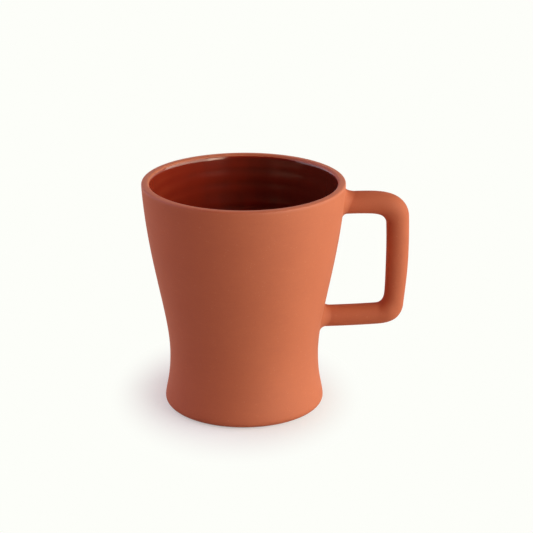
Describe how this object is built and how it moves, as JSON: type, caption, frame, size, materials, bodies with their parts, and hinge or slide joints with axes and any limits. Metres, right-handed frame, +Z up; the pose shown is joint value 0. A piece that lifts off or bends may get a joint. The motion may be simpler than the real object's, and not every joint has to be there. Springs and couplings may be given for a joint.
{
  "type": "clay cup with handle",
  "caption": "Waisted red clay cup with a flared lip, a squared coil handle luted to the wall and a glazed inside, for hot drinks.",
  "frame": {"origin": "centre of the foot, on the plane that the cup stands on", "axes": "+Z up along the cup's axis, +X from the axis towards the handle"},
  "size_m": [0.1151, 0.0872, 0.1],
  "materials": {
    "red_clay": "matte",
    "luting_clay": "matte",
    "red_brown_glaze": "gloss"
  },
  "bodies": {
    "root": {"cup_body": "red_clay", "inner_glaze": "red_brown_glaze", "handle": "red_clay", "upper_handle_joint": "luting_clay", "lower_handle_joint": "luting_clay"}
  },
  "joints": []
}
